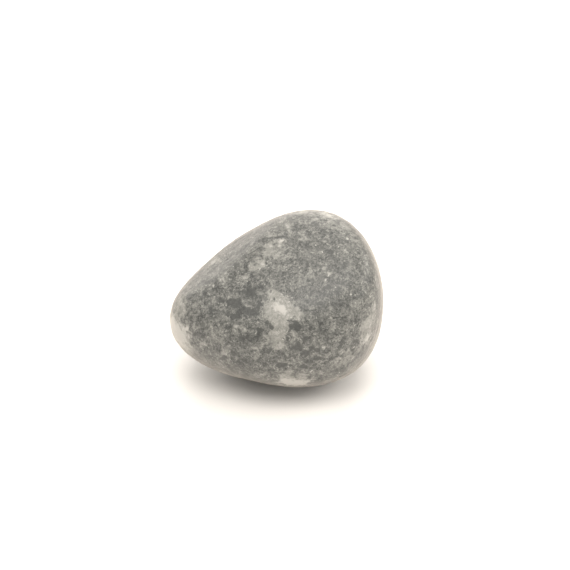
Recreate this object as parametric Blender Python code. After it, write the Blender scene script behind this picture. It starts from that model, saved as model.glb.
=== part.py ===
"""Bluestone pebble: one solid spotted dolerite stone, tumbled smooth, at its real size.

Frame: +Z up, origin on the table under the middle of the stone's box, front towards -Y.

The stone began as a broken block. Each of its old faces is a plane at a distance from the
stone's heart, and tumbling has rounded the edges where the planes meet and left the surface
faintly wavy. One flank came off later and is less worn, so its rim is still a soft ridge.
The underside is worn to a small true flat, on which the stone rests.
"""

from dataclasses import dataclass
from math import cos, pi, radians, sin

import bmesh
import bpy
import numpy as np

MM = 0.001

# Driving dimensions, in millimetres.
HEART = (1.33, -0.27, 10.38)  # the stone's heart, from which its faces are measured
SPHERE_SUBDIVISIONS = 5       # of the icosphere that the stone is shaped from
WEAR = 7.0                    # how square the worn edges are: 2 is a ball, 50 a sharp block
RIDGE_WEAR = 26.0             # the same for the rim of the younger flank

STONE_GREY = (0.235, 0.226, 0.205, 1.0)
STONE_ROUGHNESS = 0.55


def outward(azimuth, elevation):
    """The unit vector at these degrees from +X towards +Y, and above the horizon."""
    turn, rise = radians(azimuth), radians(elevation)
    return np.array([cos(turn) * cos(rise), sin(turn) * cos(rise), sin(rise)])


@dataclass(frozen=True)
class Face:
    """One old face of the block, seen from the heart: where it looks and how far out it lies."""

    name: str
    azimuth: float    # degrees
    elevation: float  # degrees
    distance: float   # millimetres


@dataclass(frozen=True)
class Wave:
    """A faint regular swell of the surface, running along one direction."""

    azimuth: float    # degrees
    elevation: float  # degrees
    length: float     # millimetres from crest to crest
    height: float     # millimetres from the mean surface to a crest
    phase: float      # degrees at the heart


WORN_FACES = (
    Face("right flank", -3, -5, 13.7),
    Face("right cheek", 9, 15, 13.7),
    Face("right shoulder", 24, 37, 14.2),
    Face("crown right", 46, 50, 15.4),
    Face("crown back", 88, 52, 14.2),
    Face("crown left", 127, 42, 11.0),
    Face("left brow", 175, 10, 17.6),
    Face("left brow foot", 151, 34, 12.0),
    Face("left tip", -177, -4, 19.4),
    Face("left chin", -160, -29, 17.9),
    Face("keel left", -139, -48, 13.2),
    Face("keel front", -105, -59, 11.3),
    Face("keel right", -54, -60, 12.2),
    Face("right chin", -23, -36, 15.2),
    Face("right jaw", -11, -19, 14.5),
    Face("front", -85, 21, 11.8),
    Face("front upper", -82, 57, 12.0),
    Face("front upper left", -117, 56, 9.3),
    Face("front low", -90, -15, 12.6),
    Face("back", 90, 5, 12.8),
    Face("back low", 90, -45, 11.1),
    Face("front left corner", -126, 6, 12.5),
    Face("front right corner", -44, 3, 14.0),
    Face("back left corner", 128, 0, 12.6),
    Face("back right corner", 45, 0, 14.0),
    Face("back right foot", 45, -42, 13.4),
    Face("back left foot", 135, -38, 13.8),
    Face("top", 0, 90, 13.4),
    Face("base", 0, -90, 11.4),
)
YOUNG_FLANK = Face("young flank", 178, 56, 9.65)
WAVES = (
    Wave(20, 10, 13.0, 0.07, 150),
    Wave(100, 35, 11.0, 0.05, 240),
    Wave(-50, 50, 9.5, 0.04, 120),
    Wave(150, -20, 8.0, 0.03, 120),
)


def reach(directions, faces, wear):
    """How far the faces let a ray run from the heart, with the edges between them rounded.

    A ray along d meets a face's plane at distance / (d . normal). The faces are merged by
    (sum of (d . normal / distance) ** wear) ** (-1 / wear).
    """
    normals = np.array([outward(face.azimuth, face.elevation) for face in faces])
    distances = np.array([face.distance for face in faces])
    nearness = np.maximum(directions @ normals.T, 0.0) / distances
    return (nearness**wear).sum(axis=1) ** (-1.0 / wear)


def stone_points(directions):
    """The surface points in millimetres, one along each unit direction from the heart."""
    radius = reach(directions, WORN_FACES, WEAR)
    normal = outward(YOUNG_FLANK.azimuth, YOUNG_FLANK.elevation)
    flank = np.maximum(directions @ normal, 0.0) / YOUNG_FLANK.distance
    radius = (radius**-RIDGE_WEAR + flank**RIDGE_WEAR) ** (-1.0 / RIDGE_WEAR)
    points = directions * radius[:, None]
    swell = np.zeros(len(points))
    for wave in WAVES:
        along = points @ outward(wave.azimuth, wave.elevation) / wave.length
        swell += wave.height * np.sin(2.0 * pi * along + radians(wave.phase))
    return points + directions * swell[:, None] + np.array(HEART)


def cut_flat(form):
    """Cuts the form off at the table, z = 0, and closes the cut with one flat face."""
    everything = form.verts[:] + form.edges[:] + form.faces[:]
    cut = bmesh.ops.bisect_plane(
        form, geom=everything, plane_co=(0, 0, 0), plane_no=(0, 0, 1), clear_inner=True
    )
    rim = [item for item in cut["geom_cut"] if isinstance(item, bmesh.types.BMEdge)]
    bmesh.ops.contextual_create(form, geom=rim)
    bmesh.ops.recalc_face_normals(form, faces=form.faces[:])


def stone_mesh(name):
    """An icosphere whose vertices move along their own directions to the stone's surface."""
    form = bmesh.new()
    bmesh.ops.create_icosphere(form, subdivisions=SPHERE_SUBDIVISIONS, radius=1.0)
    directions = np.array([vertex.co.normalized() for vertex in form.verts])
    for vertex, point in zip(form.verts, stone_points(directions) * MM):
        vertex.co = point
    cut_flat(form)
    mesh = bpy.data.meshes.new(name)
    form.to_mesh(mesh)
    form.free()
    mesh.shade_smooth()
    mesh.set_sharp_from_angle(angle=radians(30))
    return mesh


def stone_material():
    """Grey dolerite, tumbled to a dull polish."""
    material = bpy.data.materials.new("tumbled_dolerite")
    material.use_nodes = True
    shader = material.node_tree.nodes["Principled BSDF"]
    shader.inputs["Base Color"].default_value = STONE_GREY
    shader.inputs["Roughness"].default_value = STONE_ROUGHNESS
    shader.inputs["Metallic"].default_value = 0.0
    return material


def clear_scene():
    """Removes every object of the open scene."""
    for old in list(bpy.data.objects):
        bpy.data.objects.remove(old)


def main():
    clear_scene()
    collection = bpy.data.collections.new("bluestone")
    bpy.context.scene.collection.children.link(collection)
    stone = bpy.data.objects.new("stone", stone_mesh("stone"))
    stone.data.materials.append(stone_material())
    collection.objects.link(stone)


if __name__ == "__main__":
    main()
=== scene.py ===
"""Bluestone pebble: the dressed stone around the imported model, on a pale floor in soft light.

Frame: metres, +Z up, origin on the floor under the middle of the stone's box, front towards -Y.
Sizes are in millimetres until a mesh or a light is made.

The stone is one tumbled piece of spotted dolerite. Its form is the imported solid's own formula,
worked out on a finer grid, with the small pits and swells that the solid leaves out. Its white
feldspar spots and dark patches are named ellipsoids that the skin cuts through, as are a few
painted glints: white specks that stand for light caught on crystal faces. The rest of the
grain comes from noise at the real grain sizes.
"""

import logging
from dataclasses import dataclass
from enum import Enum
from math import cos, pi, radians, sin
from typing import Any

import bpy
import numpy as np
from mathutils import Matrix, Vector


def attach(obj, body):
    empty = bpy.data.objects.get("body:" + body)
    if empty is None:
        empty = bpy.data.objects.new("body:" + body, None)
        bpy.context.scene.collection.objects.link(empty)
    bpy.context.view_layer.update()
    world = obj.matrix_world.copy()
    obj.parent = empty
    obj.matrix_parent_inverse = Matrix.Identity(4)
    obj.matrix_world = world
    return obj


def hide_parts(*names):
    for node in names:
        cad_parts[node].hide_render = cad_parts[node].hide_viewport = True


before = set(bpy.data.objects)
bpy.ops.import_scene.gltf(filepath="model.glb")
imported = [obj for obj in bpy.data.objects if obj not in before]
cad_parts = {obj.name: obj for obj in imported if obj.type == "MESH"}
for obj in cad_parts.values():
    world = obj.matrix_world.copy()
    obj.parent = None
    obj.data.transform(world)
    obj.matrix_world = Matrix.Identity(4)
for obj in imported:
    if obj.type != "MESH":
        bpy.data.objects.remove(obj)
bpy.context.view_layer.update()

LOG = logging.getLogger("bluestone")
MM = 0.001


def linear(colour: str) -> tuple[float, float, float, float]:
    """Turns an sRGB colour into the linear one that shaders take.

    Args:
        colour: six hex digits after a hash, such as "#8c8982".

    Returns:
        Red, green, blue and an alpha of 1, each from 0 to 1.
    """
    shares = [int(colour[start:start + 2], 16) / 255.0 for start in (1, 3, 5)]
    low = [share / 12.92 for share in shares]
    high = [((share + 0.055) / 1.055) ** 2.4 for share in shares]
    red, green, blue = (a if share <= 0.04045 else b for share, a, b in zip(shares, low, high))
    return red, green, blue, 1.0


def outward(azimuth: float, elevation: float) -> np.ndarray:
    """The unit vector at these degrees from +X towards +Y and above the horizon."""
    turn, rise = radians(azimuth), radians(elevation)
    return np.array([cos(turn) * cos(rise), sin(turn) * cos(rise), sin(rise)])


def add_node(tree: bpy.types.NodeTree, kind: str, inputs: dict[str | int, Any] | None = None,
             **settings: Any) -> bpy.types.Node:
    """Adds one shader node with its settings and links.

    Args:
        tree: the node tree that gets the node.
        kind: the node's type, without the leading "ShaderNode".
        inputs: by name or number, what each input gets: a socket to link or a plain value.
        **settings: the node's own properties.

    Returns:
        The new node.
    """
    node = tree.nodes.new("ShaderNode" + kind)
    for name, value in settings.items():
        setattr(node, name, value)
    for name, value in (inputs or {}).items():
        if isinstance(value, bpy.types.NodeSocket):
            tree.links.new(value, node.inputs[name])
        else:
            node.inputs[name].default_value = value
    return node


# ---------------------------------------------------------------- the stone's form


@dataclass(frozen=True)
class Face:
    """One old face of the block that the stone was, as seen from its heart."""

    name: str
    azimuth: float    # degrees
    elevation: float  # degrees
    distance: float   # mm


@dataclass(frozen=True)
class Wave:
    """A faint regular swell of the surface, running along one direction."""

    azimuth: float    # degrees
    elevation: float  # degrees
    length: float     # mm from crest to crest
    height: float     # mm from the mean surface to a crest
    phase: float      # degrees at the heart


@dataclass(frozen=True)
class StoneForm:
    """The tumbled form: old faces merged, one younger flank, faint waves and a worn flat."""

    heart: tuple[float, float, float] = (1.33, -0.27, 10.38)  # mm, where all rays start
    wear: float = 7.0         # how square the worn edges are: 2 is a ball, 50 a sharp block
    ridge_wear: float = 26.0  # the same for the rim of the younger flank
    young_flank: Face = Face("young flank", 178, 56, 9.65)
    worn_faces: tuple[Face, ...] = (
        Face("right flank", -3, -5, 13.7),
        Face("right cheek", 9, 15, 13.7),
        Face("right shoulder", 24, 37, 14.2),
        Face("crown right", 46, 50, 15.4),
        Face("crown back", 88, 52, 14.2),
        Face("crown left", 127, 42, 11.0),
        Face("left brow", 175, 10, 17.6),
        Face("left brow foot", 151, 34, 12.0),
        Face("left tip", -177, -4, 19.4),
        Face("left chin", -160, -29, 17.9),
        Face("keel left", -139, -48, 13.2),
        Face("keel front", -105, -59, 11.3),
        Face("keel right", -54, -60, 12.2),
        Face("right chin", -23, -36, 15.2),
        Face("right jaw", -11, -19, 14.5),
        Face("front", -85, 21, 11.8),
        Face("front upper", -82, 57, 12.0),
        Face("front upper left", -117, 56, 9.3),
        Face("front low", -90, -15, 12.6),
        Face("back", 90, 5, 12.8),
        Face("back low", 90, -45, 11.1),
        Face("front left corner", -126, 6, 12.5),
        Face("front right corner", -44, 3, 14.0),
        Face("back left corner", 128, 0, 12.6),
        Face("back right corner", 45, 0, 14.0),
        Face("back right foot", 45, -42, 13.4),
        Face("back left foot", 135, -38, 13.8),
        Face("top", 0, 90, 13.4),
        Face("base", 0, -90, 11.4),
    )
    waves: tuple[Wave, ...] = (
        Wave(20, 10, 13.0, 0.07, 150),
        Wave(100, 35, 11.0, 0.05, 240),
        Wave(-50, 50, 9.5, 0.04, 120),
        Wave(150, -20, 8.0, 0.03, 120),
    )

    def nearness(self, directions: np.ndarray) -> np.ndarray:
        """How near each old face lies along each ray from the heart.

        A ray along d meets a face's plane at distance / (d . normal), and this is one over that.

        Args:
            directions: unit vectors, one a row.

        Returns:
            One row a direction, one column a face, in 1/mm.
        """
        normals = np.array([outward(face.azimuth, face.elevation) for face in self.worn_faces])
        distances = np.array([face.distance for face in self.worn_faces])
        return np.maximum(directions @ normals.T, 0.0) / distances

    def surface(self, directions: np.ndarray) -> np.ndarray:
        """The smooth surface of the stone, before its underside is worn flat.

        The radius is (sum of nearness ** wear) ** (-1 / wear), merged in the same way with the
        younger flank at its own wear, plus for each wave height * sin(2 pi p.d / length + phase).

        Args:
            directions: unit vectors from the heart, one a row.

        Returns:
            Points in millimetres, one a row.
        """
        radius = (self.nearness(directions) ** self.wear).sum(axis=1) ** (-1.0 / self.wear)
        normal = outward(self.young_flank.azimuth, self.young_flank.elevation)
        flank = np.maximum(directions @ normal, 0.0) / self.young_flank.distance
        sharp = self.ridge_wear
        radius = (radius**-sharp + flank**sharp) ** (-1.0 / sharp)
        points = directions * radius[:, None]
        swell = np.zeros(len(points))
        for wave in self.waves:
            along = points @ outward(wave.azimuth, wave.elevation) / wave.length
            swell += wave.height * np.sin(2.0 * pi * along + radians(wave.phase))
        return points + directions * swell[:, None] + np.array(self.heart)


@dataclass(frozen=True)
class SkinRelief:
    """What tumbling leaves on the skin: shallow swells between grains, and small open pits."""

    swell_height: float = 0.012   # mm, root mean square
    shortest_swell: float = 0.9   # mm from crest to crest
    longest_swell: float = 3.5    # mm
    swells: int = 60
    pits: int = 260
    smallest_pit: float = 0.16    # mm, radius at the mouth
    largest_pit: float = 0.50     # mm
    pit_rarity: float = 2.5       # 1 for as many large pits as small, more for fewer large
    pit_depth: float = 0.14       # share of the pit's radius
    seed: int = 27

    def swell(self, points: np.ndarray, draw: np.random.Generator) -> np.ndarray:
        """A smooth uneven field: a sum of sine waves in random directions.

        Each wave adds sin(2 pi p.d / length + phase), with lengths spread evenly in their
        logarithm. The sum is scaled to the wanted root mean square.

        Args:
            points: places in millimetres, one a row.
            draw: the source of random numbers.

        Returns:
            Millimetres outwards, one a point.
        """
        directions = draw.normal(size=(self.swells, 3))
        directions /= np.linalg.norm(directions, axis=1, keepdims=True)
        span = np.log([self.shortest_swell, self.longest_swell])
        lengths = np.exp(draw.uniform(span[0], span[1], self.swells))
        phases = draw.uniform(0.0, 2.0 * pi, self.swells)
        waves = np.sin(2.0 * pi * (points @ directions.T) / lengths + phases)
        return self.swell_height * waves.sum(axis=1) / np.sqrt(self.swells / 2.0)

    def pitting(self, points: np.ndarray, draw: np.random.Generator) -> np.ndarray:
        """Small round pits: each takes depth * (1 - (distance / radius) ** 2) ** 2 off inside it.

        Args:
            points: places in millimetres, one a row.
            draw: the source of random numbers.

        Returns:
            Millimetres inwards, one a point.
        """
        centres = points[draw.choice(len(points), self.pits, replace=False)]
        shares = draw.uniform(0.0, 1.0, self.pits) ** self.pit_rarity
        radii = self.smallest_pit + (self.largest_pit - self.smallest_pit) * shares
        depth = np.zeros(len(points))
        for centre, radius in zip(centres, radii):
            apart = ((points - centre) ** 2).sum(axis=1) / radius**2
            bowl = np.maximum(1.0 - apart, 0.0) ** 2
            depth = np.maximum(depth, self.pit_depth * radius * bowl)
        return depth


# ---------------------------------------------------------------- markings


class Side(Enum):
    """A side of the stone that marks are placed from: the eye's azimuth and elevation in degrees.

    From azimuth 0 the eye looks along +Y and from 90 along -X, and at elevation 90 straight down.
    """

    FRONT = (0.0, 30.0)
    BACK = (180.0, 20.0)
    RIGHT = (90.0, 10.0)
    TOP = (0.0, 90.0)
    UNDER = (0.0, -80.0)

    def axes(self) -> np.ndarray:
        """The directions that a mark's place is measured in.

        Returns:
            Unit vectors to the right, upwards and towards the eye, one a row.
        """
        turn, rise = radians(self.value[0]), radians(self.value[1])
        right = np.array([cos(turn), sin(turn), 0.0])
        towards = np.array([sin(turn) * cos(rise), -cos(turn) * cos(rise), sin(rise)])
        return np.array([right, np.cross(towards, right), towards])


@dataclass(frozen=True)
class Mark:
    """An ellipsoid of one mineral that the skin cuts through, placed as seen from one side; the glint
    marks among them are painted highlights instead.
    """

    name: str
    right: float         # mm right of the heart
    up: float            # mm above the heart, square to the sight line
    width: float         # mm, full
    height: float        # mm, full
    tilt: float = 0.0    # degrees counter-clockwise
    strength: float = 1.0
    side: Side = Side.FRONT


@dataclass(frozen=True)
class Marks:
    """One kind of marking and its ellipsoids."""

    name: str
    marks: tuple[Mark, ...]
    least_reach: float = 2.5   # mm that an ellipsoid reaches both ways along the sight line
    reach_share: float = 0.7   # the same as a share of its width plus its height, if more
    near_line: float = 0.3     # mm off the sight line that its middle may lie
    line_pull: float = 20.0    # mm nearer to the eye that make up for each mm further off

    def amount(self, points: np.ndarray, heart: np.ndarray) -> np.ndarray:
        """How much of the mineral each point has.

        A mark's middle is where the sight line through its place meets the skin nearest to the
        eye. The mark adds strength * 0.5 ** (r ** 2), where r is the distance from that middle
        in units of its half sizes, so half of its strength is left on its outline.

        Args:
            points: the skin's points in millimetres, one a row.
            heart: the point that marks are placed from.

        Returns:
            One amount a point, from 0 up.
        """
        total = np.zeros(len(points))
        for mark in self.marks:
            seen = (points - heart) @ mark.side.axes().T
            place = np.array([mark.right, mark.up])
            beside = np.linalg.norm(seen[:, :2] - place, axis=1)
            off_line = np.maximum(beside - self.near_line, 0.0)
            middle = seen[np.argmax(seen[:, 2] - self.line_pull * off_line)]
            away = seen - np.array([mark.right, mark.up, middle[2]])
            turn = radians(mark.tilt)
            along = away[:, 0] * cos(turn) + away[:, 1] * sin(turn)
            across = away[:, 1] * cos(turn) - away[:, 0] * sin(turn)
            reach = max(self.least_reach, self.reach_share * (mark.width + mark.height))
            squared = (2.0 * along / mark.width) ** 2 + (2.0 * across / mark.height) ** 2
            total += mark.strength * 0.5 ** (squared + (away[:, 2] / reach) ** 2)
        return total


FELDSPAR = Marks("feldspar", (
    Mark("main spot", -1.1, 0.1, 2.7, 2.1, -20, 1.1),
    Mark("its top", -1.4, 1.0, 1.5, 1.0, -35, 0.85),
    Mark("its left", -2.3, -1.0, 1.1, 2.0, 10, 0.8),
    Mark("its middle", -0.9, -1.5, 2.1, 1.5, 0, 0.95),
    Mark("its arm", 0.5, -1.0, 1.3, 1.3, 0, 0.95),
    Mark("its arm end", 1.4, -1.1, 0.8, 1.5, 4, 0.85),
    Mark("its waist", -0.8, -2.5, 1.5, 1.0, 0, 1.05),
    Mark("its foot", -1.3, -4.0, 1.9, 2.3, -3, 1.4),
    Mark("its side", -0.3, -2.9, 0.8, 1.0, 0, 0.7),
    Mark("its toe", -1.1, -5.3, 1.1, 0.6, 0, 0.7),
    Mark("its chip", 0.9, -3.7, 1.0, 1.0, -15, 0.85),
    Mark("keel spot", 0.9, -9.7, 4.0, 1.1, 0, 1.35),
    Mark("keel spot horn", 2.0, -8.8, 1.0, 1.0, 10, 0.9),
    Mark("keel crumb", 0.4, -8.3, 0.9, 0.8, 40, 0.85),
    Mark("keel left crumb", -3.0, -8.8, 1.3, 0.6, 10, 0.75),
    Mark("keel foam", -0.4, -9.1, 1.3, 0.8, 20, 0.7),
    Mark("left tip", -13.7, -3.9, 3.0, 4.0, 22, 1.5),
    Mark("left tip top", -14.7, -1.9, 1.3, 1.8, 12, 0.9),
    Mark("tip foot", -12.6, -5.6, 1.3, 1.0, -30, 0.8),
    Mark("crown patch", 5.1, 11.0, 2.8, 1.1, -24, 1),
    Mark("crown edge", 2.0, 11.4, 2.8, 0.6, 5, 0.8),
    Mark("hook", -3.0, 4.9, 0.8, 0.9, 0, 1.1),
    Mark("hook tail", -3.9, 4.4, 1.4, 0.5, 14, 1.1),
    Mark("hook end", -4.6, 4.7, 0.5, 0.5, 0, 1),
    Mark("thread", -7.8, 2.8, 0.3, 1.4, 25, 0.85),
    Mark("thread top", -7.6, 3.9, 0.3, 0.6, -15, 0.7),
    Mark("right patch", 9.7, -3.8, 1.5, 2.8, -12, 1.2),
    Mark("right band", 10.6, -1.1, 1.0, 2.8, -8, 0.95),
    Mark("right foot", 11.0, -5.7, 0.9, 2.0, -20, 0.85),
    Mark("right crumb", 9.4, -2.9, 0.8, 0.8, 0, 0.8),
    Mark("left spot", -9.4, -3.5, 1.1, 1.4, 10, 0.9),
    Mark("left spot low", -10.2, -4.9, 1.5, 1.0, 0, 0.78),
    Mark("ridge cloud", -1.4, 6.8, 2.1, 1.6, 10, 0.7),
    Mark("ridge cloud left", -2.5, 6.1, 1.4, 1.1, 0, 0.65),
    Mark("ridge strip", -0.8, 7.8, 1.3, 0.4, 8, 1),
    Mark("ridge strip left", -2.4, 7.2, 1.1, 0.4, 25, 0.9),
    Mark("above the ridge", -1.8, 8.5, 1.5, 0.6, 0, 0.75),
    Mark("crown ring", 0.4, 9.2, 0.9, 0.8, 0, 0.8),
    Mark("crown ring right", 2.0, 9.1, 1.0, 0.9, -20, 0.75),
    Mark("left cloud", -5.7, -3.0, 1.9, 0.8, -5, 0.62),
    Mark("left cloud horn", -6.3, -2.7, 0.5, 0.6, 30, 0.7),
    Mark("star", 4.4, -5.3, 0.5, 0.8, 15, 1.1),
    Mark("right dot", 7.8, -1.1, 0.8, 0.8, 0, 0.85),
    Mark("right dot up", 4.6, 4.3, 0.5, 0.5, 0, 1),
    Mark("low left cloud", -3.9, -6.2, 1.1, 1.5, 0, 0.62),
    Mark("low cloud", -7.8, -6.2, 1.0, 1.5, -10, 0.75),
    Mark("low cloud left", -7.1, -5.3, 0.6, 0.5, 0, 0.8),
    Mark("low streak", -7.7, -8.8, 1.8, 0.4, -24, 1),
    Mark("low right cloud", 7.6, -5.6, 0.8, 1.6, -10, 0.75),
    Mark("low right foam", 6.6, -7.2, 1.8, 1.3, -15, 0.7),
    Mark("low right streak", 4.3, -8.5, 1.6, 0.6, 8, 0.68),
    Mark("low right fleck", 8.0, -6.7, 1.0, 0.8, 30, 0.7),
    Mark("brow cloud", -5.2, 3.3, 0.8, 1.4, -15, 0.65),
    Mark("slope cloud", -9.2, 5.2, 1.8, 1.0, 35, 0.75),
    Mark("crown spot", 7.3, 9.5, 1.3, 0.8, -40, 0.7),
    Mark("mid cloud", 1.6, 3.7, 1.0, 1.0, 0, 0.55),
    Mark("shoulder cloud", 8.2, 8.2, 1.0, 0.8, -30, 0.65),
    Mark("crown cloud", 5.4, 9.7, 1.5, 0.9, -20, 0.6),
    Mark("crown cloud left", 1.9, 8.0, 2.0, 1.0, 0, 0.78),
    Mark("brow cloud right", 1.0, 5.6, 1.0, 0.9, 0, 0.65),
    Mark("crown cloud high", 3.4, 10.4, 1.5, 0.8, 0, 0.66),
    Mark("crown cloud far", -0.3, 10.0, 2.0, 0.9, -15, 0.68),
    Mark("ridge cloud right", -0.4, 5.8, 1.4, 1.0, 0, 0.66),
    Mark("hook cloud", -3.9, 5.4, 1.5, 0.9, 20, 0.62),
    Mark("tip cloud", -13.3, 0.0, 1.9, 2.5, 10, 0.74),
    Mark("slope cloud low", -10.5, 1.1, 1.1, 0.9, 20, 0.6),
    Mark("tip cloud low", -11.1, -2.4, 1.1, 1.0, 0, 0.68),
    Mark("toe crumb", 0.0, -6.3, 0.5, 0.4, 20, 1),
    Mark("low dot", -3.3, -5.3, 1.0, 0.9, 0, 0.75),
    Mark("fringe crumb", -4.8, -0.3, 1.1, 0.4, -10, 0.8),
    Mark("fringe crumb top", -6.3, 1.0, 0.6, 0.5, 20, 0.7),
    Mark("fringe bead", -9.6, -0.1, 0.4, 0.5, 0, 0.9),
    Mark("back spot", 2.5, 1.0, 4.2, 2.6, 35, 1, Side.BACK),
    Mark("back spot low", -5.0, -3.0, 2.0, 2.8, 10, 0.9, Side.BACK),
    Mark("roof spot", 2.0, 7.6, 3.0, 1.8, -30, 0.9, Side.TOP),
    Mark("right side spot", 5.5, -2.0, 2.6, 3.4, 15, 0.9, Side.RIGHT),
    Mark("under spot", 0.0, -1.0, 3.0, 2.0, 50, 0.9, Side.UNDER),
))
# Hearts of the white spots, plus painted glints: white specks that stand for light caught on crystal
# faces.
WHITE_AND_PAINTED_GLINTS = Marks("white", (
    Mark("main heart", -1.0, -0.4, 1.8, 1.0, -20, 1.05),
    Mark("main heart right", -0.4, -0.9, 1.0, 0.8, -50, 0.9),
    Mark("main crumb", -1.0, 0.5, 0.8, 0.5, 0, 0.6),
    Mark("shoulder crumb", 0.0, 0.5, 0.6, 0.6, 0, 0.5),
    Mark("foot heart", -1.1, -4.0, 0.9, 1.0, 0, 0.35),
    Mark("keel heart", 1.0, -9.9, 2.9, 0.8, 3, 1.5),
    Mark("keel heart left", -0.4, -9.5, 1.1, 0.5, -10, 0.9),
    Mark("tip heart", -13.7, -4.0, 2.1, 3.4, 22, 1.45),
    Mark("tip heart top", -14.7, -2.3, 0.8, 1.4, 12, 0.8),
    Mark("hook heart", -3.0, 4.9, 0.5, 0.5, 0, 0.8),
    Mark("crown heart", 5.2, 11.1, 2.0, 0.6, -24, 0.9),
    Mark("crown dot", 0.8, 10.7, 0.5, 0.3, 10, 0.9),
    Mark("right heart", 9.9, -4.2, 0.6, 1.3, -12, 0.85),
    Mark("ridge heart", -0.6, 7.8, 0.6, 0.3, 10, 1),
    Mark("ridge dot", -1.5, 8.0, 0.4, 0.3, 0, 0.9),
    Mark("tip dot", -12.5, -3.2, 0.3, 0.5, 0, 1),
    Mark("star heart", 4.6, -5.3, 0.3, 0.5, 20, 0.9),
    # Painted highlights: these glints are white colour that stands for light caught on crystal faces,
    # not a mineral.
    Mark("painted glint", 5.1, 3.5, 0.3, 0.4, -20, 1.1),
    Mark("glint low", 4.7, 2.9, 0.3, 0.3, 0, 1.1),
    Mark("glint right", 7.8, 1.1, 0.3, 0.3, -20, 1.1),
    Mark("glint far right", 10.2, 0.9, 0.3, 0.5, 35, 1),
    Mark("glint shoulder", 7.5, 8.0, 0.3, 0.3, 0, 1),
    Mark("glint brow", -9.1, 2.1, 0.3, 0.4, 0, 0.9),
    Mark("glint waist", -2.8, 2.3, 0.3, 0.3, 0, 0.9),
    Mark("back heart", 2.8, 1.2, 2.0, 1.2, 35, 1, Side.BACK),
    Mark("roof heart", 2.2, 7.7, 1.2, 0.8, -30, 0.9, Side.TOP),
    Mark("right side heart", 5.6, -1.6, 1.2, 1.4, 15, 0.9, Side.RIGHT),
))
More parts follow.
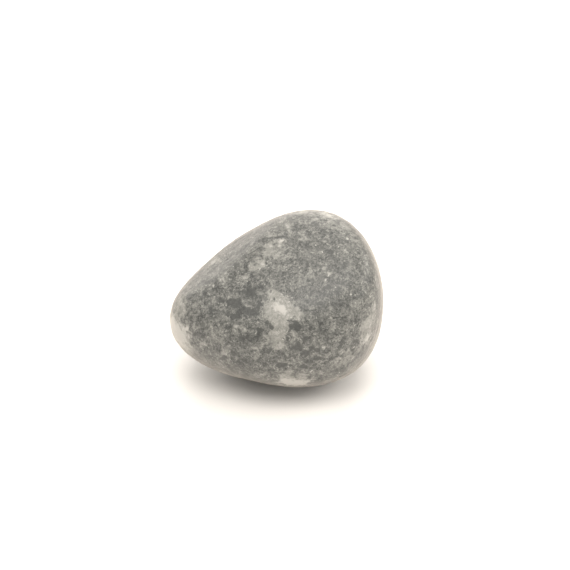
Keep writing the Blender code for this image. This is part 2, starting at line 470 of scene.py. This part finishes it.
MAFIC = Marks("mafic", (
    Mark("left field", -5.2, -0.1, 4.6, 4.0, 0, 0.2),
    Mark("left core", -6.6, 0.0, 1.4, 1.1, 10, 1.1),
    Mark("left core low", -6.4, -1.6, 1.4, 0.6, -5, 1.1),
    Mark("left core right", -4.3, -1.1, 2.0, 0.8, -14, 1.25),
    Mark("left core edge", -3.4, -0.1, 0.6, 1.1, 0, 0.85),
    Mark("left core top", -4.4, 1.3, 1.1, 0.8, -10, 1),
    Mark("left core top left", -5.4, 1.5, 0.8, 0.5, 0, 0.75),
    Mark("left core far", -7.1, 1.6, 1.0, 0.5, 20, 0.65),
    Mark("left fringe", -8.3, 0.3, 1.1, 0.8, 0, 0.7),
    Mark("left fringe low", -8.2, -0.9, 1.5, 0.5, 0, 0.7),
    Mark("far fringe", -9.4, -0.5, 0.6, 0.6, 0, 0.85),
    Mark("low core", -3.3, -3.2, 1.1, 0.6, -12, 1.1),
    Mark("low core left", -5.3, -4.2, 1.1, 0.6, 10, 1.15),
    Mark("low dot", -7.2, -2.9, 0.8, 0.5, 10, 1.05),
    Mark("left bead", -11.3, -3.8, 1.0, 0.5, 20, 0.85),
    Mark("left bead low", -10.4, -4.0, 0.8, 0.6, 0, 0.8),
    Mark("round spot", 1.3, -2.8, 1.0, 1.0, 0, 1.7),
    Mark("its thread", 0.3, -2.1, 1.0, 0.2, -10, 1.2),
    Mark("its hook", 0.4, -2.8, 0.4, 0.6, 15, 0.8),
    Mark("spot hole", -1.6, 0.5, 0.4, 0.6, 10, 0.9),
    Mark("waist hole", -1.9, -2.8, 0.6, 0.6, 20, 1.2),
    Mark("waist hole left", -2.4, -2.3, 0.4, 0.5, 0, 0.9),
    Mark("foot edge", 0.1, -4.2, 0.5, 0.9, 0, 0.55),
    Mark("foot edge top", 0.1, -3.5, 0.5, 0.6, 0, 0.55),
    Mark("front field", 2.0, -5.4, 3.8, 2.5, 15, 0.22),
    Mark("front core", 2.5, -4.3, 1.3, 0.6, 35, 0.85),
    Mark("front core low", 1.1, -5.4, 1.5, 0.6, 15, 0.85),
    Mark("front core foot", 2.3, -6.1, 1.0, 0.6, 25, 0.75),
    Mark("front core right", 3.8, -6.8, 1.0, 0.5, 0, 0.9),
    Mark("front core side", 3.2, -5.4, 1.1, 0.6, 10, 0.7),
    Mark("front bead", 4.0, -5.7, 0.9, 0.5, 35, 0.8),
    Mark("toe shade", -0.5, -6.3, 1.1, 0.5, -25, 0.85),
    Mark("toe shade left", -2.3, -5.8, 1.0, 0.6, 30, 0.8),
    Mark("low shade", -0.5, -7.6, 1.5, 0.6, 0, 0.85),
    Mark("low shade right", 2.0, -7.7, 1.5, 0.5, -10, 0.85),
    Mark("low shade left", -1.9, -8.2, 1.0, 0.6, 0, 0.85),
    Mark("low left shade", -6.7, -6.1, 1.1, 0.5, 0, 0.8),
    Mark("low left bead", -5.8, -7.5, 0.9, 0.6, 20, 0.85),
    Mark("low left bead up", -7.8, -6.7, 0.9, 0.5, 0, 0.8),
    Mark("right low shade", 6.8, -4.8, 0.8, 1.5, -12, 0.85),
    Mark("right low bead", 6.2, -8.3, 0.9, 0.6, 0, 0.7),
    Mark("crown shade", 1.9, 7.0, 1.0, 1.0, 0, 0.7),
    Mark("crown shade right", 5.4, 6.2, 1.1, 0.8, -20, 0.7),
    Mark("brow shade", 2.5, 4.9, 1.1, 1.1, -20, 0.7),
    Mark("brow bead", 5.3, 8.1, 0.8, 0.5, 30, 0.75),
    Mark("right shoulder shade", 10.0, 6.4, 1.0, 0.9, 0, 0.65),
    Mark("slope shade", -6.4, 4.7, 0.9, 1.3, 0, 0.7),
    Mark("right shade", 6.4, 2.1, 2.3, 1.5, 20, 0.42),
    Mark("right fleck", 6.8, 2.5, 0.8, 0.4, 35, 0.6),
    Mark("right fleck low", 5.9, 1.4, 0.9, 0.4, -15, 0.65),
    Mark("right fleck far", 7.8, 1.9, 0.5, 0.6, 10, 0.55),
    Mark("right bead low", 4.9, 1.9, 1.0, 0.8, 0, 0.6),
    Mark("mid shade", 3.8, 0.8, 2.3, 1.5, -20, 0.42),
    Mark("mid fleck", 3.0, 1.4, 0.8, 0.5, 30, 0.62),
    Mark("mid fleck low", 4.0, 0.0, 1.0, 0.5, -20, 0.65),
    Mark("mid fleck right", 4.6, 1.3, 0.5, 0.6, 15, 0.6),
    Mark("upper mid fleck", 3.9, 3.8, 1.0, 0.5, 25, 0.8),
    Mark("upper mid fleck left", 2.7, 2.8, 0.6, 0.5, -30, 0.75),
    Mark("mid bead", 5.2, -0.3, 0.9, 0.6, 0, 0.7),
    Mark("right bead", 7.1, 4.7, 0.5, 0.9, 0, 0.8),
    Mark("ridge shade", -3.3, 5.9, 0.8, 0.6, 0, 0.45),
    Mark("crown band", 1.1, 8.2, 1.3, 0.4, 5, 0.75),
    Mark("ridge line", -1.0, 8.2, 2.5, 0.2, 6, 1.1),
    Mark("ridge line left", -4.2, 6.4, 2.3, 0.2, 32, 0.9),
    Mark("slope foot shade", -9.4, -6.7, 1.5, 0.6, -25, 0.7),
    Mark("back core", -4.0, 3.0, 5.0, 4.0, 20, 0.9, Side.BACK),
    Mark("roof core", -3.5, 7.0, 3.0, 2.0, 0, 0.9, Side.TOP),
    Mark("right side core", 6.0, 4.0, 4.0, 3.0, 0, 0.9, Side.RIGHT),
))


# ---------------------------------------------------------------- finishes


@dataclass(frozen=True)
class Needles:
    """A crop of needle-shaped grains, one to a cell, each lying its own way."""

    spacing: float             # mm between neighbours
    length: float              # mm
    width: float               # mm
    palest: float              # tone that the palest adds
    darkest: float             # tone that the darkest adds
    rarity: float              # 1 for as many pale as dark, more for fewer pale
    shift: float = 0.0         # mm along each axis, so that no two crops share their cells
    outer_edge: float = 1.15   # distance at which a needle starts, in its half sizes
    inner_edge: float = 0.55   # distance at which it has its full tone

    def tone(self, tree: bpy.types.NodeTree, place: bpy.types.NodeSocket) -> bpy.types.NodeSocket:
        """The tone that the needles add at each place.

        A cell's random colour, less mid grey, is the way its needle lies. The place is measured
        from the cell's own point, in half widths across the needle and half lengths along it.

        Args:
            tree: the material's node tree.
            place: the place on the stone, in millimetres.

        Returns:
            A socket with the added tone, 0 between needles.
        """
        moved = add_node(tree, "VectorMath", {0: place, 1: (self.shift,) * 3}).outputs[0]
        cells = add_node(tree, "TexVoronoi", {"Vector": moved, "Scale": 1.0 / self.spacing})
        away = add_node(tree, "VectorMath", {0: moved, 1: cells.outputs["Position"]},
                        operation="SUBTRACT").outputs[0]
        lean = add_node(tree, "VectorMath", {0: cells.outputs["Color"], 1: (0.5, 0.5, 0.5)},
                        operation="SUBTRACT").outputs[0]
        axis = add_node(tree, "VectorMath", {0: lean}, operation="NORMALIZE").outputs[0]
        along = add_node(tree, "VectorMath", {0: away, 1: axis},
                         operation="DOT_PRODUCT").outputs["Value"]
        squeeze = add_node(tree, "Math", {0: along, 1: 2.0 / self.length - 2.0 / self.width},
                           operation="MULTIPLY").outputs[0]
        lengthwise = add_node(tree, "VectorMath", {0: axis, "Scale": squeeze},
                              operation="SCALE").outputs[0]
        across = add_node(tree, "VectorMath", {0: away, "Scale": 2.0 / self.width},
                          operation="SCALE").outputs[0]
        ratio = add_node(tree, "VectorMath", {0: across, 1: lengthwise}).outputs[0]
        size = add_node(tree, "VectorMath", {0: ratio}, operation="LENGTH").outputs["Value"]
        fill = add_node(tree, "MapRange", {"Value": size, "From Min": self.outer_edge,
                                           "From Max": self.inner_edge}).outputs[0]
        each = add_node(tree, "SeparateColor", {"Color": cells.outputs["Color"]}).outputs["Blue"]
        rare = add_node(tree, "Math", {0: each, 1: self.rarity}, operation="POWER").outputs[0]
        added = add_node(tree, "MapRange", {"Value": rare, "To Min": self.darkest,
                                            "To Max": self.palest}).outputs[0]
        return add_node(tree, "Math", {0: fill, 1: added}, operation="MULTIPLY").outputs[0]


@dataclass(frozen=True)
class Mottle:
    """One size of blotches in the ground mass, with soft outlines."""

    length: float             # mm between blotches
    detail: float             # octaves of finer outline
    rough: float              # share that each octave keeps of the one before
    bend: float               # how far the outlines are drawn into wisps
    depth: float              # tone between the darkest blotch and the palest
    low: float                # noise at which the darkest starts
    high: float               # noise at which the palest starts
    shift: float = 0.0        # mm along each axis, so that no two layers match
    veil: float = 0.0         # mm between the places where the blotches fade, 0 for even ones
    veil_low: float = 0.35    # noise at which they are faintest
    veil_high: float = 0.65   # noise at which they are strongest
    faintest: float = 0.7     # share of their tone that is left there
    strongest: float = 1.3    # share of their tone that they reach there

    def tone(self, tree: bpy.types.NodeTree, place: bpy.types.NodeSocket) -> bpy.types.NodeSocket:
        """The tone that the blotches add: noise, flattened at both ends by a smooth step.

        With a veil, a broader noise then makes them fainter in some places than in others.

        Args:
            tree: the material's node tree.
            place: the place on the stone, in millimetres.

        Returns:
            A socket with the added tone, from minus to plus half the depth before the veil.
        """
        moved = add_node(tree, "VectorMath", {0: place, 1: (self.shift,) * 3}).outputs[0]
        noise = add_node(tree, "TexNoise", {"Vector": moved, "Scale": 1.0 / self.length,
                                            "Detail": self.detail, "Roughness": self.rough,
                                            "Distortion": self.bend}).outputs["Fac"]
        added = add_node(tree, "MapRange", {"Value": noise, "From Min": self.low,
                                            "From Max": self.high, "To Min": -0.5 * self.depth,
                                            "To Max": 0.5 * self.depth},
                         interpolation_type="SMOOTHSTEP").outputs[0]
        if not self.veil:
            return added
        veil = add_node(tree, "TexNoise", {"Vector": moved, "Scale": 1.0 / self.veil,
                                           "Detail": 1.0}).outputs["Fac"]
        share = add_node(tree, "MapRange", {"Value": veil, "From Min": self.veil_low,
                                            "From Max": self.veil_high, "To Min": self.faintest,
                                            "To Max": self.strongest}).outputs[0]
        return add_node(tree, "Math", {0: added, 1: share}, operation="MULTIPLY").outputs[0]


@dataclass(frozen=True)
class Stain:
    """What one kind of mark does to the tone of the ground mass."""

    marks: Marks
    start: float   # amount of the mineral at which it starts to show
    full: float    # amount at which it covers all that it will
    cover: float   # share of the ground mass that it then hides
    tone: float    # its own tone


@dataclass(frozen=True)
class TumbledDolerite:
    """Spotted dolerite from a tumbling barrel: interlocked dark and pale grains, dull polish.

    The eye sees a warm mid grey of salt-and-pepper grains, short pale feldspar laths, soft
    cloudy white spots with dark patches beside them, and a faint gloss that whitens towards
    the edges.
    """

    mean_tone: float = 0.325        # of the ground mass, from 0 for darkest to 1 for white
    layers: tuple[Mottle, ...] = (
        # Broad clouds, then clots of grains, then single grains that stand out in places.
        Mottle(length=4.5, detail=1.0, rough=0.5, bend=0.0, depth=0.10, low=0.35, high=0.65),
        Mottle(length=1.4, detail=3.6, rough=1.0, bend=0.3, depth=0.85, low=0.20, high=0.80,
               shift=11.0),
        Mottle(length=0.3, detail=2.0, rough=1.0, bend=0.3, depth=0.60, low=0.20, high=0.80,
               shift=8.0, veil=1.6),
    )
    crops: tuple[Needles, ...] = (
        # Long laths of feldspar, then short ones. Their palest needles are also made bright enough to
        # stand for tiny glints of light, so they are partly painted highlights.
        Needles(spacing=0.9, length=0.80, width=0.16, palest=0.58, darkest=-0.06, rarity=2.5),
        Needles(spacing=0.5, length=0.42, width=0.14, palest=0.60, darkest=-0.08, rarity=3.5,
                shift=7.3),
    )
    fray: float = 0.8               # mm between the lobes of a mark's ragged outline
    fray_detail: float = 4.0        # octaves of finer lobes
    fray_rough: float = 0.65        # share that each octave keeps of the one before
    fray_depth: float = 2.8         # amount of mineral between the lobes and the gaps
    stains: tuple[Stain, ...] = (
        # Each covers those before it, so a dark patch cuts a hole in a pale spot.
        Stain(FELDSPAR, start=0.34, full=0.80, cover=0.62, tone=0.92),
        # The white stain also carries the painted glints, which are highlights put into the colour.
        Stain(WHITE_AND_PAINTED_GLINTS, start=0.40, full=0.95, cover=0.80, tone=1.04),
        Stain(MAFIC, start=0.45, full=0.68, cover=0.78, tone=0.02),
    )
    darkest: str = "#383937"        # at tone 0
    middle: str = "#5e5e5a"
    middle_tone: float = 0.36
    pale: str = "#807f79"
    pale_tone: float = 0.66
    white: str = "#b0ada7"          # at tone 1
    dark_roughness: float = 0.40    # of grains up to the tone dark_grain
    dark_grain: float = 0.1
    white_roughness: float = 0.53   # of grains from the tone white_grain up
    white_grain: float = 0.9
    grain_height: float = 0.02      # mm that white grains stand above the darkest
    grain_strength: float = 0.5     # share of that height that the light shows
    ior: float = 1.55
    sheen: float = 0.40
    sheen_roughness: float = 0.35
    sheen_tint: str = "#fff1e2"

    def tone(self, tree: bpy.types.NodeTree, place: bpy.types.NodeSocket) -> bpy.types.NodeSocket:
        """How pale the ground mass is before its marks: the mean, the blotches and the needles.

        Args:
            tree: the material's node tree.
            place: the place on the stone, in millimetres.

        Returns:
            A socket that holds about 0 for the darkest grain and 1 for white.
        """
        total: Any = self.mean_tone
        for grains in self.layers + self.crops:
            total = add_node(tree, "Math", {0: total, 1: grains.tone(tree, place)}).outputs[0]
        return total

    def stained(self, tree: bpy.types.NodeTree, place: bpy.types.NodeSocket,
                tone: bpy.types.NodeSocket) -> bpy.types.NodeSocket:
        """The tone with its pale spots, and with the dark patches over them.

        Noise is added to each mineral's amount, so that the outlines of its marks are ragged.

        Args:
            tree: the material's node tree.
            place: the place on the stone, in millimetres.
            tone: the paleness of the ground mass.

        Returns:
            The paleness of the whole stone.
        """
        noise = add_node(tree, "TexNoise", {"Vector": place, "Scale": 1.0 / self.fray,
                                            "Detail": self.fray_detail,
                                            "Roughness": self.fray_rough}).outputs["Fac"]
        fray = add_node(tree, "MapRange", {"Value": noise, "To Min": -0.5 * self.fray_depth,
                                           "To Max": 0.5 * self.fray_depth}).outputs[0]
        for stain in self.stains:
            amount = add_node(tree, "Attribute", attribute_name=stain.marks.name).outputs["Fac"]
            ragged = add_node(tree, "Math", {0: amount, 1: fray}).outputs[0]
            cover = add_node(tree, "MapRange", {"Value": ragged, "From Min": stain.start,
                                                "From Max": stain.full,
                                                "To Max": stain.cover}).outputs[0]
            tone = add_node(tree, "Mix", {"Factor": cover, "A": tone, "B": stain.tone}).outputs[0]
        return tone

    def material(self) -> bpy.types.Material:
        """Builds the stone's material on Object coordinates and the stone's own attributes.

        Returns:
            The new material.
        """
        material = bpy.data.materials.new("tumbled_dolerite")
        material.use_nodes = True
        tree = material.node_tree
        shader = tree.nodes["Principled BSDF"]
        at = add_node(tree, "TexCoord").outputs["Object"]
        place = add_node(tree, "VectorMath", {0: at, "Scale": 1.0 / MM}, operation="SCALE").outputs[0]
        tone = self.stained(tree, place, self.tone(tree, place))
        colours = add_node(tree, "ValToRGB", {"Fac": tone})
        stops = colours.color_ramp.elements
        stops[0].color, stops[1].color = linear(self.darkest), linear(self.white)
        stops.new(self.middle_tone).color = linear(self.middle)
        stops.new(self.pale_tone).color = linear(self.pale)
        tree.links.new(colours.outputs["Color"], shader.inputs["Base Color"])
        gloss = add_node(tree, "MapRange", {"Value": tone, "From Min": self.dark_grain,
                                            "From Max": self.white_grain,
                                            "To Min": self.dark_roughness,
                                            "To Max": self.white_roughness})
        tree.links.new(gloss.outputs[0], shader.inputs["Roughness"])
        bump = add_node(tree, "Bump", {"Strength": self.grain_strength,
                                       "Distance": self.grain_height * MM, "Height": tone})
        tree.links.new(bump.outputs[0], shader.inputs["Normal"])
        shader.inputs["IOR"].default_value = self.ior
        shader.inputs["Sheen Weight"].default_value = self.sheen
        shader.inputs["Sheen Roughness"].default_value = self.sheen_roughness
        shader.inputs["Sheen Tint"].default_value = linear(self.sheen_tint)
        return material


@dataclass(frozen=True)
class PaleFloor:
    """Matt white board: a plain warm white that takes a soft shadow."""

    colour: str = "#f2efec"
    roughness: float = 0.9

    def material(self) -> bpy.types.Material:
        """Builds the floor's material, with no gloss at all.

        Returns:
            The new material.
        """
        material = bpy.data.materials.new("matt_white_board")
        material.use_nodes = True
        shader = material.node_tree.nodes["Principled BSDF"]
        shader.inputs["Base Color"].default_value = linear(self.colour)
        shader.inputs["Roughness"].default_value = self.roughness
        shader.inputs["Specular IOR Level"].default_value = 0.0
        return material


# ---------------------------------------------------------------- the dressed stone


@dataclass(frozen=True)
class Pebble:
    """The dressed stone: a closed skin on a cube-sphere grid, with its markings and finish."""

    cells: int = 126                 # grid cells along one edge of the cube
    map_margin: float = 4.0 / 1024   # share of the map left free inside each block's edges
    form: StoneForm = StoneForm()
    relief: SkinRelief = SkinRelief()
    finish: TumbledDolerite = TumbledDolerite()

    def grid(self) -> tuple[np.ndarray, np.ndarray, np.ndarray]:
        """A sphere as six square grids whose shared edges are one.

        The vertices are the points of a lattice of n cells a side that lie on the cube's
        surface, and each has a key made of its three steps, so that sides share the points on
        their edges. A step k becomes tan((2 k / n - 1) * 45 degrees), which keeps the cells even
        when the cube is blown up to a sphere.

        Returns:
            Unit directions, one a vertex. Faces as rows of four vertex numbers that turn
            outwards. Map coordinates, one row a face corner, with each side of the cube in its
            own block of three by two.
        """
        n = self.cells
        cells = np.stack(np.meshgrid(np.arange(n), np.arange(n), indexing="ij"), 2).reshape(-1, 2)
        corners = np.array([(0, 0), (1, 0), (1, 1), (0, 1)])
        block_size = np.array([1.0 / 3.0, 1.0 / 2.0])
        keys, places = [], []
        for block, (axis, end) in enumerate((axis, end) for axis in range(3) for end in (0, n)):
            block_corner = np.array([block % 3, block // 3]) * block_size + self.map_margin
            for corner in corners if end else corners[::-1]:
                steps = cells + corner
                lattice = np.zeros((n * n, 3), int)
                lattice[:, axis] = end
                lattice[:, (axis + 1) % 3] = steps[:, 0]
                lattice[:, (axis + 2) % 3] = steps[:, 1]
                keys.append(lattice @ np.array([(n + 1) ** 2, n + 1, 1]))
                places.append(block_corner + steps / n * (block_size - 2.0 * self.map_margin))
        keys = np.array(keys).reshape(6, 4, n * n).transpose(0, 2, 1).reshape(-1)
        places = np.array(places).reshape(6, 4, n * n, 2).transpose(0, 2, 1, 3).reshape(-1, 2)
        unique, numbers = np.unique(keys, return_inverse=True)
        lattice = np.stack([unique // (n + 1) ** 2, unique // (n + 1) % (n + 1), unique % (n + 1)], 1)
        directions = np.tan((2.0 * lattice / n - 1.0) * pi / 4.0)
        directions /= np.linalg.norm(directions, axis=1, keepdims=True)
        return directions, numbers.reshape(-1, 4), places

    def skin(self, directions: np.ndarray) -> np.ndarray:
        """The stone's skin: its form, moved out by the swells and in by the pits, worn flat below.

        Args:
            directions: unit vectors from the heart, one a row.

        Returns:
            Points in millimetres, one a row, none of them below the floor.
        """
        points = self.form.surface(directions)
        draw = np.random.default_rng(self.relief.seed)
        lift = self.relief.swell(points, draw) - self.relief.pitting(points, draw)
        points = points + directions * lift[:, None]
        points[:, 2] = np.maximum(points[:, 2], 0.0)
        return points

    def build(self) -> bpy.types.Object:
        """Makes the stone's mesh, with its map and its amounts of mineral, and its finish.

        Returns:
            The finished stone.
        """
        directions, faces, places = self.grid()
        points = self.skin(directions)
        mesh = bpy.data.meshes.new("stone_skin")
        mesh.from_pydata(points * MM, [], faces)
        bake_map = mesh.uv_layers.new(name="OFBake")
        bake_map.uv.foreach_set("vector", places.astype(np.float32).ravel())
        for stain in self.finish.stains:
            amounts = stain.marks.amount(points, np.array(self.form.heart))
            mineral = mesh.attributes.new(stain.marks.name, "FLOAT", "POINT")
            mineral.data.foreach_set("value", amounts)
        mesh.shade_smooth()
        mesh.materials.append(self.finish.material())
        stone = bpy.data.objects.new("stone_skin", mesh)
        bpy.context.scene.collection.objects.link(stone)
        return stone


# ---------------------------------------------------------------- the studio


@dataclass(frozen=True)
class Softbox:
    """A wide soft lamp that faces the stone."""

    name: str
    azimuth: float     # degrees from +X towards +Y
    elevation: float   # degrees
    width: float       # mm
    height: float      # mm
    brightness: float  # of its face, on the tent's scale
    distance: float = 400.0  # mm from the middle of the floor
    colour: str = "#fffbf6"

    def hang(self) -> None:
        """Adds the lamp to the scene. Its power is brightness * pi * area."""
        lamp = bpy.data.lights.new(self.name, "AREA")
        lamp.shape = "RECTANGLE"
        lamp.size, lamp.size_y = self.width * MM, self.height * MM
        lamp.energy = self.brightness * pi * lamp.size * lamp.size_y
        lamp.color = linear(self.colour)[:3]
        softbox = bpy.data.objects.new(self.name, lamp)
        softbox.location = self.distance * MM * Vector(outward(self.azimuth, self.elevation))
        softbox.rotation_euler = softbox.location.to_track_quat("Z", "Y").to_euler()
        bpy.context.scene.collection.objects.link(softbox)


@dataclass(frozen=True)
class Studio:
    """A white floor in a bright tent of soft light, and the camera."""

    floor_side: float = 3000.0         # mm
    floor_finish: PaleFloor = PaleFloor()
    tent_brightness: float = 0.58      # 1 would show as pure white
    tent_colour: str = "#fdfbf6"
    softboxes: tuple[Softbox, ...] = (
        Softbox("right softbox", 0.0, 32.0, 600.0, 170.0, 3.4),
        Softbox("left softbox", 180.0, 32.0, 600.0, 170.0, 1.25),
        Softbox("back softbox", 90.0, 50.0, 400.0, 300.0, 1.7),
        Softbox("low back softbox", 101.0, 15.0, 500.0, 160.0, 2.1),
        Softbox("top softbox", 90.0, 88.0, 350.0, 350.0, 1.4),
        Softbox("front softbox", 270.0, 58.0, 340.0, 190.0, 4.6),
    )
    camera_elevation: float = 30.0     # degrees
    camera_distance: float = 330.0     # mm from the stone's heart
    view_width: float = 72.06          # mm across the picture at the heart
    aim: tuple[float, float] = (-0.25, 2.28)  # mm right of and above the heart
    sensor: float = 36.0               # mm
    clear_of_lens: float = 10.0        # mm in front of the lens where nothing shows

    def floor(self) -> bpy.types.Object:
        """Makes the floor: one flat square at height 0.

        Returns:
            The floor.
        """
        half = 0.5 * self.floor_side * MM
        across = np.array([-half, half, half, -half])
        corners = np.stack([across, np.roll(across, 1), np.zeros(4)], 1)
        mesh = bpy.data.meshes.new("floor")
        mesh.from_pydata(corners, [], [(0, 1, 2, 3)])
        mesh.materials.append(self.floor_finish.material())
        floor = bpy.data.objects.new("floor", mesh)
        bpy.context.scene.collection.objects.link(floor)
        return floor

    def light(self) -> None:
        """Hangs the softboxes and lights the tent round them, with colours shown as they are."""
        for softbox in self.softboxes:
            softbox.hang()
        tent = bpy.data.worlds.new("tent")
        tent.use_nodes = True
        cloth = tent.node_tree.nodes["Background"]
        cloth.inputs["Color"].default_value = linear(self.tent_colour)
        cloth.inputs["Strength"].default_value = self.tent_brightness
        bpy.context.scene.world = tent
        bpy.context.scene.view_settings.view_transform = "Standard"

    def camera(self, heart: tuple[float, float, float]) -> bpy.types.Object:
        """Sets up the camera in front of the stone and above it.

        Args:
            heart: the stone's heart, in millimetres.

        Returns:
            The camera.
        """
        rise = radians(self.camera_elevation)
        upwards = Vector((0.0, sin(rise), cos(rise)))
        target = Vector(heart) + Vector((self.aim[0], 0.0, 0.0)) + self.aim[1] * upwards
        back = self.camera_distance * Vector((0.0, -cos(rise), sin(rise)))
        lens = bpy.data.cameras.new("camera")
        lens.sensor_width = self.sensor
        lens.lens = self.sensor * self.camera_distance / self.view_width
        lens.clip_start = self.clear_of_lens * MM
        camera = bpy.data.objects.new("camera", lens)
        camera.location = (target + back) * MM
        camera.rotation_euler = (-back).to_track_quat("-Z", "Y").to_euler()
        bpy.context.scene.collection.objects.link(camera)
        bpy.context.scene.camera = camera
        return camera


def main() -> None:
    """Builds the stone, the floor, the lights and the camera."""
    logging.basicConfig(level=logging.INFO, format="%(name)s: %(message)s")
    pebble = Pebble()
    stone = pebble.build()
    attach(stone, "root")
    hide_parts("stone")
    LOG.info("%s: %d faces of four corners", stone.name, len(stone.data.polygons))
    studio = Studio()
    floor = studio.floor()
    LOG.info("%s: %.0f mm square", floor.name, studio.floor_side)
    studio.light()
    LOG.info("tent and %d softboxes lit", len(studio.softboxes))
    camera = studio.camera(pebble.form.heart)
    LOG.info("%s: %.1f mm lens", camera.name, camera.data.lens)


if __name__ == "__main__":
    main()
